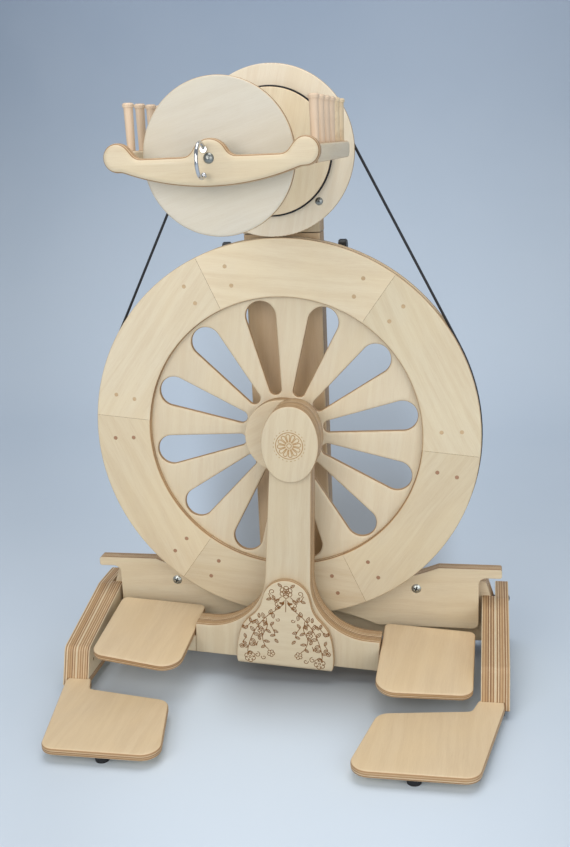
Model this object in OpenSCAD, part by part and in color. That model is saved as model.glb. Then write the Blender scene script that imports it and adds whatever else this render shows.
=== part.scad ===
// Upright double-treadle spinning wheel in birch plywood.
// Millimetres, +Z up, the spinner sits on the -Y side. The wheel plane is X-Z.

/* [Drive wheel] */
// outside diameter of the drive wheel
wheel_d = 520; // [480:5:560]
// radial width of the front and rear rings
ring_w = 76; // [60:1:90]
// thickness of one wheel layer (ring, plate, ring)
layer_t = 9; // [6:0.5:12]
// number of teardrop openings in the plate
openings = 12; // [8:1:16]
// angle of the first opening
opening_a0 = 9; // [0:1:30]
// radius of the round outer end of an opening
opening_r_out = 20; // [14:0.5:24]
// radius of the narrow inner end of an opening
opening_r_in = 8; // [5:0.5:10]
// angle of the first joint between ring segments
joint_a0 = 54; // [0:1:60]
// crank disc diameter
disc_d = 100; // [90:1:104]
// axle diameter
axle_d = 16; // [12:1:20]

/* [Frame] */
// height of the wheel axle over the floor
axle_h = 336; // [320:1:360]
// post width
post_w = 102; // [90:1:110]
// board thickness of post, rails, panel and rocker
board_t = 18; // [15:0.5:19]
// half width over the rails
half_w = 297.5; // [285:0.5:310]
// thin board for heel boards and toe pads
pad_t = 9.5; // [9:0.5:12]
// height of the rubber feet
foot_h = 12.1; // [8:0.1:14]

/* [Flyer and bobbin] */
// flyer axis over the wheel axle
flyer_z = 365.5; // [350:0.5:380]
// diameter of the whorl front flange
flange_d = 209.4; // [190:0.2:220]
// pulley seat diameter
seat_d = 183; // [150:1:190]
// bobbin disc diameter
bobbin_d = 157.6; // [120:0.2:160]
// yarn pegs on each arm
pegs_n = 6; // [3:1:6]

/* [Rocker] */
// height of the rocker pivot under the axle
pivot_drop = 294; // [290:0.5:300]
// tilt of the rocker in this position
tilt = 3.6; // [0:0.1:3.6]
// slope of the toe pads towards the sitter
pad_slope = 8.1; // [4:0.1:10]

/* [Hidden] */
$fn = 96;
R = wheel_d/2;
ri = R - ring_w;
seat_r = R - 2.5;
band_r = 1.7;
band_w = seat_r + 0.3 + band_r;
band_f = seat_d/2 + 0.3 + band_r;
band_y = layer_t*1.5;
tk = layer_t;
y_post = 49;
y_back = y_post + 2*board_t;
y_front = -333;
y_rear = 106;
shift_y = -(y_front + y_rear)/2;
z_floor = -axle_h;
z_under = z_floor + foot_h;
z_board = z_under + pad_t;
ry0 = -47.5;
ry1 = ry0 + board_t;
ry2 = ry1 + board_t;
pin_d = 12;
fit = 0.05;
birch = [0.90, 0.80, 0.64];
edge = [0.72, 0.52, 0.34];
steel = [0.62, 0.63, 0.65];
black = [0.06, 0.06, 0.07];

// part to show

// ---- helpers -------------------------------------------------------------
function unit(v) = v/norm(v);
function arc_pts(c, r, a0, sw, n) = [for (i = [0:n]) c + r*[cos(a0 + sw*i/n), sin(a0 + sw*i/n)]];
function wrap(a) = a > 180 ? a - 360 : (a < -180 ? a + 360 : a);
function corner(p0, p1, p2, r, n) =
  let (u = unit(p0 - p1), v = unit(p2 - p1), an = acos(u*v))
  r <= 0 ? [p1] :
  let (d = r/tan(an/2), c = p1 + unit(u + v)*r/sin(an/2), s = p1 + u*d - c, e = p1 + v*d - c,
       a0 = atan2(s[1], s[0]), a1 = atan2(e[1], e[0]))
  arc_pts(c, r, a0, wrap(a1 - a0), n);
// rounded polygon from [x, y, r] points
function rp(p, n = 8) = [for (i = [0:len(p)-1])
  let (a = p[(i + len(p) - 1)%len(p)], b = p[i], c = p[(i + 1)%len(p)])
  for (q = corner([a[0], a[1]], [b[0], b[1]], [c[0], c[1]], b[2], n)) q];
function mir(p) = [for (i = [len(p)-1:-1:0]) [-p[i][0], p[i][1]]];
function cr(a, b, c, d, t) = 0.5*(2*b + (c - a)*t + (2*a - 5*b + 4*c - d)*t*t + (3*b - a - 3*c + d)*t*t*t);
function spline(p, n = 5) = concat([for (i = [1:len(p)-3]) for (k = [0:n-1]) cr(p[i-1], p[i], p[i+1], p[i+2], k/n)], [p[len(p)-2]]);

module W() translate([0, shift_y, axle_h]) children();
module RK() W() translate([0, 0, -pivot_drop]) rotate([0, tilt, 0]) children();
module FL() W() translate([0, 0, flyer_z]) children();
// X-Z outline swept along Y
module yp(y0, y1) translate([0, y1, 0]) rotate([90, 0, 0]) linear_extrude(y1 - y0) children();
// Y-Z outline swept along X
module xp(x0, x1) translate([x0, 0, 0]) rotate([90, 0, 90]) linear_extrude(x1 - x0) children();
module yc(x, z, y0, y1, r) translate([x, y1, z]) rotate([90, 0, 0]) cylinder(h = y1 - y0, r = r);
module xc(y, z, x0, x1, r) translate([x0, y, z]) rotate([0, 90, 0]) cylinder(h = x1 - x0, r = r);
// body of revolution about Y from radius/height outlines
module yrev() rotate([90, 0, 0]) rotate_extrude() children();
// disc with eased outer edges
module ydisc(y0, y1, r, rb, e) translate([0, y1, 0]) yrev() {
  translate([rb, 0]) square([r - e - rb, y1 - y0]);
  translate([rb, e]) square([r - rb, y1 - y0 - 2*e]);
  intersection() {
    union() { translate([r - e, e]) circle(e); translate([r - e, y1 - y0 - e]) circle(e); }
    translate([rb, 0]) square([r - rb, y1 - y0]);
  }
}
module ring2(a, b) difference() { circle(b); circle(a); }

// ---- frame ---------------------------------------------------------------
module post_holes() {
  for (y = [[y_post - 1, y_post + 8], [y_back - 8, y_back + 1]]) yc(0, 0, y[0], y[1], 16 + fit);
  yc(0, 0, y_post, y_back, 10);
  yc(0, -pivot_drop, y_post - 1, y_back + 1, pin_d/2 + fit);
  for (s = [-1, 1]) xc(y_post + board_t, 240, s > 0 ? 30 : -60, s > 0 ? 60 : -30, 3 + fit);
  for (x = [-28, 28]) translate([x, y_post + board_t, 225]) cylinder(h = 40, r = 5 + fit);
}
module half_post(y0, y1, f) difference() {
  translate([0, 0, -322]) linear_extrude(322 + 260.5)
    polygon(f ? rp([[-post_w/2, y1, 0], [-post_w/2, y0, 3], [post_w/2, y0, 3], [post_w/2, y1, 0]])
              : rp([[-post_w/2, y0, 0], [post_w/2, y0, 0], [post_w/2, y1, 3], [-post_w/2, y1, 3]]));
  post_holes();
}
module post_front() color(birch) W() half_post(y_post, y_post + board_t, true);
module post_rear() color(birch) W() half_post(y_post + board_t, y_back, false);
module head_block() color(birch) W() difference() {
  union() {
    translate([-post_w/2, y_post, 261.5]) cube([post_w, y_back - y_post, flyer_z - 261.5]);
    yc(0, flyer_z, y_post, y_back, post_w/2);
  }
  for (y = [[y_post - 1, y_post + 8], [y_back - 8, y_back + 1]]) yc(0, flyer_z, y[0], y[1], 16 + fit);
  yc(0, flyer_z, y_post, y_back, 10);
  for (x = [-28, 28]) translate([x, y_post + board_t, 260]) cylinder(h = 30, r = 5 + fit);
}
module head_dowels() color(steel) W() for (x = [-28, 28])
  translate([x, y_post + board_t, 226]) cylinder(h = 62, r = 5);
arch = [0, -564.4, 302.8];
beam_p = [[post_w/2, -312], [post_w/2, -242], [132, -242], [150, -222], [266.5, -222], [279.4, -262], [279.4, -312]];
module cross_beams() color(birch) W() difference() {
  for (s = [0, 1]) mirror([s, 0, 0]) yp(y_post, y_back) polygon(beam_p);
  for (s = [0, 1]) mirror([s, 0, 0]) {
    xc(y_post + board_t, -254, 223, 300, 4 + fit);
    yc(172, -228.5, y_post - 1, y_post + 16, 2 + fit);
  }
}
arch_x = sqrt(arch[2]*arch[2] - pow(arch[1] + 285.5, 2));
top_r = 546;
top_x = sqrt(top_r*top_r - pow(310 + 197, 2));
arch_a = asin(arch_x/arch[2]);
top_a = asin(top_x/top_r);
panel_r = [for (q = rp([[top_x, -197, 0], [288, -197, 3], [288, -209.5, 3], [257, -209.5, 10], [257, -285.5, 9], [arch_x, -285.5, 0]])) q];
panel_l = mir(panel_r);
panel_p = concat(panel_r, [for (k = [1:39]) [arch[0], arch[1]] + arch[2]*[sin(arch_a*(1 - k/20)), cos(arch_a*(1 - k/20))]],
  panel_l, [for (k = [1:39]) [0, 310] + top_r*[-sin(top_a*(1 - k/20)), -cos(top_a*(1 - k/20))]]);
module panel() color(birch) W() difference() {
  yp(y_post - board_t, y_post) polygon(panel_p);
  for (s = [-1, 1]) yc(s*172, -228.5, 20, 60, 2 + fit);
}
rail_f = -113;
rail_p = rp([[rail_f, z_board, 0], [-98.5, -276, 11], [42, -243, 6], [y_rear, -243, 8], [y_rear, z_board, 0]]);
rail_pi = rp([[rail_f, z_board, 0], [-98.5, -276, 11], [42, -243, 6], [y_post, -243, 0], [y_post, z_board, 0]]);
heel_x = 291;
// outer board, rabbeted over the edge of the heel board
module rail_out() difference() {
  xp(half_w - board_t, half_w) polygon(concat([[rail_f - 3.59, z_under]], [for (i = [1:len(rail_p)-2]) rail_p[i]], [[y_rear, z_under]]));
  translate([200, -200, z_under - 1]) cube([heel_x + 0.1 - 200, 400, pad_t + 1]);
  xc(y_post + board_t, -254, rail_m - 1, half_w + 1, 4 + fit);
}
module rail_in() difference() {
  xp(half_w - 2*board_t, half_w - board_t) polygon(rail_pi);
  xc(-87.5, -297, 250, rail_i + 9, 2.6);
}
rail_m = half_w - board_t;
rail_i = half_w - 2*board_t;
module rail_l_outer() color(birch) W() mirror([1, 0, 0]) rail_out();
module rail_l_inner() color(birch) W() mirror([1, 0, 0]) rail_in();
module rail_r_outer() color(birch) W() rail_out();
module rail_r_inner() color(birch) W() rail_in();
heel_p = rp([[heel_x, 104, 3], [heel_x, -124, 3], [261.2, -279, 20], [109.4, -279, 22], [135.4, -153.5, 20], [250.5, -136.2, 9], [258, -112, 4], [262, -108, 0], [262, 104, 3]]);
module heel(m) translate([0, 0, z_under]) linear_extrude(pad_t) polygon(m ? mir(heel_p) : heel_p);
module heel_board_l() color(birch) W() heel(true);
module heel_board_r() color(birch) W() heel(false);
module rubber_feet() color(black) W() for (s = [-1, 1], p = [[188, -262], [283, -104], [279, 88]])
  translate([s*p[0], p[1], z_floor]) cylinder(h = foot_h, r1 = 8.5, r2 = 10);
module panel_screws() color(steel) W() for (s = [-1, 1]) difference() {
  translate([s*172, y_post + 15, -228.5]) yrev() {
    square([2, 15 + board_t]);
    translate([0, 15 + board_t]) intersection() { translate([0, -6.8]) circle(9.6); square([6.8, 3]); }
  }
  for (a = [20, 110]) translate([s*172, y_post - board_t - 2.4, -228.5]) rotate([0, a, 0]) cube([7.6, 2.4, 1.7], center = true);
}
module rail_bolts() color(black) W() for (s = [0, 1]) mirror([s, 0, 0]) {
  xc(y_post + board_t, -254, 224, half_w + 0.1, 4);
  translate([half_w, y_post + board_t, -254]) rotate([0, 90, 0]) rotate_extrude() intersection() { translate([0, -5.2]) circle(7.2); square([5, 3]); }
}
module bearing_at(y) difference() { yc(0, 0, y, y + 8, 16); yc(0, 0, y - 1, y + 9, axle_d/2 + fit); }
module bearings() color(steel) for (y = [y_post, y_back - 8]) { W() bearing_at(y); FL() bearing_at(y); }
module pivot_pin() color(steel) W() {
  yc(0, -pivot_drop, -40, y_back + 1, pin_d/2);
  yc(0, -pivot_drop, y_back, y_back + 5, 11);
  yc(0, -pivot_drop, -10.9, 30, 8.5);
}
module stud() xc(y_post + board_t, 240, 33.6, 82, 3);
module knob() difference() {
  translate([73, y_post + board_t, 240]) rotate([0, 90, 0]) rotate_extrude() {
    square([9, 11]); translate([0, 1.2]) square([10.2, 8.6]);
  }
  xc(y_post + board_t, 240, 60, 82, 3 + fit);
}
module stud_l() color(steel) W() mirror([1, 0, 0]) stud();
module stud_r() color(steel) W() stud();
module knob_l() color(black) W() mirror([1, 0, 0]) knob();
module knob_r() color(black) W() knob();
band_a = asin((band_w - band_f)/flyer_z);
band_l = flyer_z*cos(band_a);
module ytorus(a, b) rotate([90, 0, 0]) rotate_extrude() translate([a, 0]) circle(b);
module drive_band() color(black) W() translate([0, band_y, 0]) {
  difference() {
    ytorus(band_w, band_r);
    yp(-5, 5) polygon([[0, 0], [400*cos(band_a), 400*sin(band_a)], [400, 500], [-400, 500], [-400*cos(band_a), 400*sin(band_a)]]);
  }
  translate([0, 0, flyer_z]) intersection() {
    ytorus(band_f, band_r);
    yp(-5, 5) polygon([[0, 0], [200*cos(band_a), 200*sin(band_a)], [200, 300], [-200, 300], [-200*cos(band_a), 200*sin(band_a)]]);
  }
  for (s = [-1, 1]) translate([s*band_w*cos(band_a), 0, band_w*sin(band_a)]) rotate([0, -s*band_a, 0]) translate([0, 0, 0.02]) cylinder(h = band_l - 0.04, r = band_r);
}

// ---- drive wheel ---------------------------------------------------------
dowel_a = 7.53;
dowel_r = [R - 25, R - 51];
module dowel_set(r, y0, y1) for (k = [0:5], s = [-1, 1], q = dowel_r)
  rotate([0, -(joint_a0 + 60*k + s*dowel_a), 0]) yc(q, 0, y0, y1, r);
module wedge(a0) rotate(a0) translate([0.12/sin(30)*cos(30), 0.12])
  polygon([[0, 0], [400, 0], [400*cos(60) + 200, 400*sin(60)], [400*cos(60), 400*sin(60)]]);
module seg2(a0, a, b) intersection() { ring2(a, b); wedge(a0); }
module ring_seg(k) color(birch) W() difference() {
  yp(0, tk) seg2(joint_a0 + 60*(k - 1), ri, R);
  dowel_set(3 + fit, -1, tk + 1);
}
module ring_seg_1() ring_seg(1);
module ring_seg_2() ring_seg(2);
module ring_seg_3() ring_seg(3);
module ring_seg_4() ring_seg(4);
module ring_seg_5() ring_seg(5);
module ring_seg_6() ring_seg(6);
module rear_ring() color(birch) W() difference() {
  for (k = [0:5]) yp(2*tk, 3*tk) seg2(joint_a0 + 30 + 60*k, ri, R);
  dowel_set(3 + fit, 2*tk - 1, 3*tk - 1.5);
}
module rim_dowels() color(edge) W() dowel_set(3, 0, 3*tk - 1.6);
op_o = R - 100;
op_i = 62;
op_s = asin((opening_r_out - opening_r_in)/(op_o - op_i));
module teardrop() polygon(concat(
  [for (i = [0:22]) let (a = -90 - op_s + (180 + 2*op_s)*i/22) [op_o + opening_r_out*cos(a), opening_r_out*sin(a)]],
  [for (i = [0:10]) let (a = 90 + op_s + (180 - 2*op_s)*i/10) [op_i + opening_r_in*cos(a), opening_r_in*sin(a)]]));
module spoke_plate() color(birch) W() difference() {
  yp(tk, 2*tk) difference() {
    circle(seat_r);
    circle(axle_d/2 + fit);
    for (k = [0:openings-1]) rotate(opening_a0 + 360/openings*k) teardrop();
  }
  dowel_set(3 + fit, tk - 1, 2*tk + 1);
}
module crank_disc() color(birch) W() difference() {
  ydisc(-tk, tk, disc_d/2, 0, 1.5);
  yc(0, 0, 0, tk + 1, axle_d/2 + fit);
}
module rear_hub() color(birch) W() difference() {
  union() { ydisc(2*tk, 30, disc_d/2, 0, 1.5); yc(0, 0, 29, y_post - 0.5, 12); }
  yc(0, 0, 2*tk - 1, y_post + 1, axle_d/2 + fit);
}
module axle() color(steel) W() yc(0, 0, 0.2, 97, axle_d/2);
module axle_collar() color(steel) W() collar();
module collar() difference() { ydisc(y_back + 0.5, y_back + 9, 13, 0, 1); yc(0, 0, y_back - 1, y_back + 20, axle_d/2 + fit); }

// ---- flyer ---------------------------------------------------------------
module flyer_shaft() color(steel) FL() yc(0, 0, -291, 97, axle_d/2);
module flyer_collar() color(steel) FL() {
  collar();
  difference() { yc(0, 0, -282, -264.6, 12); yc(0, 0, -290, -260, axle_d/2 + fit); }
}
fy0 = 2;
module bore(y0, y1) yc(0, 0, y0, y1, axle_d/2 + fit);
screw_a = -46.6;
module flange_holes() for (a = [screw_a, screw_a + 180]) rotate([0, -a, 0]) yc(85.6, 0, -1, 20, 2 + fit);
module whorl_flange() color(birch) FL() difference() { ydisc(fy0, tk, flange_d/2, 0, 1.5); bore(-9, 20); flange_holes(); }
module whorl_core() color(birch) FL() difference() { yc(0, 0, tk, 2*tk, seat_d/2); bore(0, 30); flange_holes(); }
module whorl_back() color(birch) FL() difference() {
  union() { ydisc(2*tk, 2*tk + 7, flange_d/2 - 2, 0, 1.5); yc(0, 0, 2*tk + 6, y_post - 0.5, 12); }
  bore(0, 80);
}
module flyer_screws() color(steel) FL() {
  for (a = [screw_a, screw_a + 180]) rotate([0, -a, 0])
    translate([85.6, 17, 0]) yrev() { square([2, 15]); translate([0, 15]) intersection() { translate([0, -4]) circle(6.4); square([5, 2.5]); } }
  translate([0, -296, 0]) yrev() { square([2, 4]); translate([0, 4]) intersection() { translate([0, -3]) circle(6.2); square([5.4, 4]); } }
}
ya = 94.5;
module yoke2() {
  intersection() { translate([0, 228.5]) circle(256, $fn = 240); translate([-106, -40]) square([212, 42]); }
  for (s = [0, 1]) mirror([s, 0]) {
    translate([ya, 3.3]) circle(14.5);
    // soft notch beside the round end
    difference() { translate([ya - 23, 0]) square([14, 9.5]); translate([ya - 24.5, 12.5]) circle(10.6); }
    difference() { translate([13, 0]) square([14, 9]); translate([27, 13]) circle(11); }
  }
  circle(19);
}
module flyer_yoke() color(birch) FL() difference() {
  yp(-300, -282) yoke2();
  yc(0, 0, -291.2, -281, axle_d/2 + fit);
  yc(0, 0, -301, -295, 2 + fit);
}
arm_c = [87, 105];
module flyer_arms() color(birch) FL() difference() {
  for (s = [0, 1]) mirror([s, 0, 0]) xp(arm_c[0], arm_c[1]) polygon(concat([[-282, -9]], arc_pts([-53.3, 0.25], 9.25, -90, 180, 24), [[-282, 9.5]]));
  peg_at() cylinder(h = 12, r = 4 + fit);
}
module peg_at() for (s = [-1, 1], k = [0:pegs_n-1]) translate([s*(arm_c[0] + arm_c[1])/2, -245 + 37.6*k, 1.5]) children();
module yarn_pegs() color(birch) FL() peg_at() rotate_extrude() {
  square([4, 9]);
  translate([0, 8]) polygon([[0, 0], [4.2, 0], [4.9, 44], [0, 44]]);
  translate([0, 51]) { square([5.9, 2.4]); translate([0, 0]) square([4.6, 4.6]); intersection() { translate([4.2, 2.4]) circle(1.9); square([10, 10]); } }
}
hook_r = 16.6;
hook_w = 1.9;
module orifice_hook() color(steel) FL() translate([-4, -333 + hook_r + hook_w, -1.5]) rotate([90, 0, 90]) {
  difference() {
    rotate_extrude() translate([hook_r, 0]) circle(hook_w);
    translate([0, 0, -3]) linear_extrude(6) polygon([[0, 0], [30*cos(-60), 30*sin(-60)], [40, 0], [30*cos(38), 30*sin(38)]]);
  }
  translate([hook_r*cos(300), hook_r*sin(300), 0]) sphere(3);
  translate([11.2, hook_r*sin(38), 0]) rotate([0, 90, 0]) cylinder(h = 3.25, r = 3.3);
}

// ---- bobbin --------------------------------------------------------------
bore_b = 12 + fit;
module bobbin_front() color(birch) FL() difference() { ydisc(-264, -255, bobbin_d/2, 0, 2.5); yc(0, 0, -270, -250, bore_b); }
module bobbin_core() color(birch) FL() difference() { yc(0, 0, -255, -8.5, 20); yc(0, 0, -260, 0, bore_b); }
module bobbin_back() color(birch) FL() difference() { ydisc(-8.5, 0.5, bobbin_d/2 - 2, 0, 1); yc(0, 0, -10, 2, bore_b); }
module bobbin_band() color(black) FL() translate([0, -4, 0]) rotate([90, 0, 0]) rotate_extrude() translate([bobbin_d/2 - 0.9, 0]) circle(1.1);
module bobbin_bushes() color(steel) FL() for (y = [-264, -11.5]) difference() { yc(0, 0, y, y + 12, 12); yc(0, 0, y - 1, y + 13, axle_d/2 + fit); }

// ---- rocker (local: pivot at 0,0) ----------------------------------------
head_w = 297.6;
module oval2(a, b) {
  // four-arc oval, a = half height, b = half width
  r1 = b*0.86; c1 = a - r1;
  k = b - r1; c2 = (c1*c1 - k*k)/(2*k); r2 = b + c2; th = atan2(c1, c2);
  polygon(concat([for (i = [0:15]) [-c2 + r2*cos(th*(i/8 - 1)), r2*sin(th*(i/8 - 1))]],
    [for (i = [0:19]) [r1*cos(th + (180 - 2*th)*i/20), c1 + r1*sin(th + (180 - 2*th)*i/20)]],
    [for (i = [0:15]) [c2 - r2*cos(th*(i/8 - 1)), -r2*sin(th*(i/8 - 1))]],
    [for (i = [0:19]) [-r1*cos(th + (180 - 2*th)*i/20), -c1 - r1*sin(th + (180 - 2*th)*i/20)]]));
}
sh = [33, 28.5, 80];
tee_r = rp([[0, -14, 0], [127, -14, 0], [127, 28.5, 0], [33, 28.5, 80], [26.3, 272, 0], [0, 272, 0]], 24);
module tee2() {
  polygon(concat(tee_r, mir([for (i = [1:len(tee_r)-2]) tee_r[i]])));
  translate([0, head_w]) oval2(50.9, 37.5);
}
crank_w = 294.6;
module rocker_front() color(birch) RK() difference() { yp(ry0, ry1) tee2(); yc(0, 0, -41, 0, pin_d/2 + fit); }
module rocker_back() color(birch) RK() difference() {
  yp(ry1, ry2) difference() {
    tee2();
    translate([-11.1, crank_w - 19.5]) square([22.2, 39]);
    for (s = [-1, 1]) translate([0, crank_w + s*19.5]) circle(11.1);
  }
  yc(0, 0, -60, 0, pin_d/2 + fit);
}
bell_k = [[0, 109.5], [12, 107.2], [22.5, 100.5], [29.5, 91], [33, 80], [36, 69], [42.5, 58.5], [51, 50], [58.5, 40], [63, 28], [65.6, 14], [67, 0], [66.6, -12], [64.2, -17.5]];
bell_s = spline(concat([[-12, 107.2]], bell_k, [[60, -17.5]]), 5);
module bell_plate() color(birch) RK() yp(ry0 - 9, ry0) polygon(concat(bell_s, mir([for (i = [1:len(bell_s)-1]) bell_s[i]])));
module oval_cap() color(birch) RK() yp(ry0 - 9, ry0) translate([0, head_w]) oval2(50.9, 37.5);
module crank_pin() color(steel) RK() yc(0, crank_w, ry1, -tk - 0.5, 7);
module crank_bearing() color(steel) RK() difference() { yc(0, crank_w, ry1, ry2, 11); yc(0, crank_w, -60, 0, 7 + fit); }
pad_y = 13.8;
pad_w = 28.6;
tp = tan(pad_slope);
function under(y) = pad_w - (pad_y - y)*tp - pad_t/cos(pad_slope);
module toe_arm(m) mirror([m, 0, 0]) {
  xp(127.05, 246) polygon([[ry0, -13], [ry2, -13], [ry2, under(ry2)], [ry0, under(ry0)]]);
}
module toe_arms() color(birch) RK() for (m = [0, 1]) toe_arm(m);
toe_p = rp([[128.2, 0, 8], [252.2, 0, 9], [252.2, -138, 18], [128.2, -151.5, 26]]);
module toe_pad(m) translate([0, pad_y, pad_w]) rotate([pad_slope, 0, 0]) translate([0, 0, -pad_t]) linear_extrude(pad_t) polygon(m ? mir(toe_p) : toe_p);
module toe_pad_l() color(birch) RK() toe_pad(true);
module toe_pad_r() color(birch) RK() toe_pad(false);

post_front();
post_rear();
head_block();
head_dowels();
cross_beams();
panel();
rail_l_outer();
rail_l_inner();
rail_r_outer();
rail_r_inner();
heel_board_l();
heel_board_r();
rubber_feet();
panel_screws();
rail_bolts();
bearings();
pivot_pin();
stud_l();
stud_r();
knob_l();
knob_r();
drive_band();
ring_seg_1();
ring_seg_2();
ring_seg_3();
ring_seg_4();
ring_seg_5();
ring_seg_6();
rear_ring();
rim_dowels();
spoke_plate();
crank_disc();
rear_hub();
axle();
axle_collar();
flyer_shaft();
flyer_collar();
whorl_flange();
whorl_core();
whorl_back();
flyer_screws();
flyer_yoke();
flyer_arms();
yarn_pegs();
orifice_hook();
bobbin_front();
bobbin_core();
bobbin_back();
bobbin_band();
bobbin_bushes();
rocker_front();
rocker_back();
bell_plate();
oval_cap();
crank_pin();
crank_bearing();
toe_arms();
toe_pad_l();
toe_pad_r();
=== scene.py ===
import math

import bpy
import numpy as np
from mathutils import Matrix, Vector
from mathutils.geometry import tessellate_polygon


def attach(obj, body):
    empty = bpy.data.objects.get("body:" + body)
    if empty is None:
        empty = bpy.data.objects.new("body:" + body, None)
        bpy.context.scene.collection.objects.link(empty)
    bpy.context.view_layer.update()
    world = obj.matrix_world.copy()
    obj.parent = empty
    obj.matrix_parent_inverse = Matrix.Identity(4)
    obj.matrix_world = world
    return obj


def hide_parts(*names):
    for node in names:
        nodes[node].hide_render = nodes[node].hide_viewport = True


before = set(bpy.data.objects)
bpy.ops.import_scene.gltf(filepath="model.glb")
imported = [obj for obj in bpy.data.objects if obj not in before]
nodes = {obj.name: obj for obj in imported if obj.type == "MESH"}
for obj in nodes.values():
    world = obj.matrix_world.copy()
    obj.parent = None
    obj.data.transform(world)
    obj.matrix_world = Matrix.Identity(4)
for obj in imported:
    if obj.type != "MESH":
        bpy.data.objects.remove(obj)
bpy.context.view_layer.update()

MM = 0.001
Y0, AX = 113.5, 336.0
FZ = 365.5
TILT = math.radians(3.6)
PIV = -294.0
HEAD_W = 297.6
WF = Matrix.Translation((0, Y0 * MM, AX * MM)) @ Matrix.Scale(MM, 4)
FL = WF @ Matrix.Translation((0, 0, FZ))
RK = WF @ Matrix.Translation((0, 0, PIV)) @ Matrix.Rotation(TILT, 4, "Y")


def rad(a):
    return a * math.pi / 180


# ---------------------------------------------------------------- materials
def new_mat(name):
    m = bpy.data.materials.new(name)
    m.use_nodes = True
    nt = m.node_tree
    for n in list(nt.nodes):
        nt.nodes.remove(n)
    out = nt.nodes.new("ShaderNodeOutputMaterial")
    b = nt.nodes.new("ShaderNodeBsdfPrincipled")
    nt.links.new(b.outputs[0], out.inputs[0])
    return m, nt, b


class G:
    """Small helper that wires math on a node tree."""

    def __init__(self, nt):
        self.nt = nt

    def put(self, sock, v):
        if isinstance(v, bpy.types.NodeSocket):
            self.nt.links.new(v, sock)
        else:
            sock.default_value = v

    def m(self, op, a, b=0.0, c=None, clamp=False):
        n = self.nt.nodes.new("ShaderNodeMath")
        n.operation = op
        n.use_clamp = clamp
        self.put(n.inputs[0], a)
        self.put(n.inputs[1], b)
        if c is not None:
            self.put(n.inputs[2], c)
        return n.outputs[0]

    def dot(self, v, axis):
        n = self.nt.nodes.new("ShaderNodeVectorMath")
        n.operation = "DOT_PRODUCT"
        self.put(n.inputs[0], v)
        n.inputs[1].default_value = axis
        return n.outputs["Value"]

    def vec(self, x, y, z):
        n = self.nt.nodes.new("ShaderNodeCombineXYZ")
        for s, v in zip(n.inputs, (x, y, z)):
            self.put(s, v)
        return n.outputs[0]

    def noise(self, v, scale, detail=3.0, rough=0.55, distort=0.0):
        n = self.nt.nodes.new("ShaderNodeTexNoise")
        self.put(n.inputs["Vector"], v)
        n.inputs["Scale"].default_value = scale
        n.inputs["Detail"].default_value = detail
        n.inputs["Roughness"].default_value = rough
        n.inputs["Distortion"].default_value = distort
        return n.outputs[0]

    def white(self, w):
        n = self.nt.nodes.new("ShaderNodeTexWhiteNoise")
        n.noise_dimensions = "1D"
        self.put(n.inputs["W"], w)
        return n.outputs[0]

    def rng(self, v, a, b, c, d):
        n = self.nt.nodes.new("ShaderNodeMapRange")
        n.interpolation_type = "SMOOTHSTEP"
        for s, x in zip(n.inputs[:5], (v, a, b, c, d)):
            self.put(s, x)
        return n.outputs[0]

    def mix(self, f, a, b, mode="MIX"):
        n = self.nt.nodes.new("ShaderNodeMix")
        n.data_type = "RGBA"
        n.blend_type = mode
        self.put(n.inputs[0], f)
        for s, v in ((n.inputs[6], a), (n.inputs[7], b)):
            self.put(s, v if isinstance(v, bpy.types.NodeSocket) else (*v, 1.0))
        return n.outputs[2]


PALE = (0.800, 0.676, 0.476)
DEEP = (0.690, 0.535, 0.340)
WARM_P = (0.765, 0.602, 0.392)
WARM_D = (0.650, 0.478, 0.285)


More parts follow.
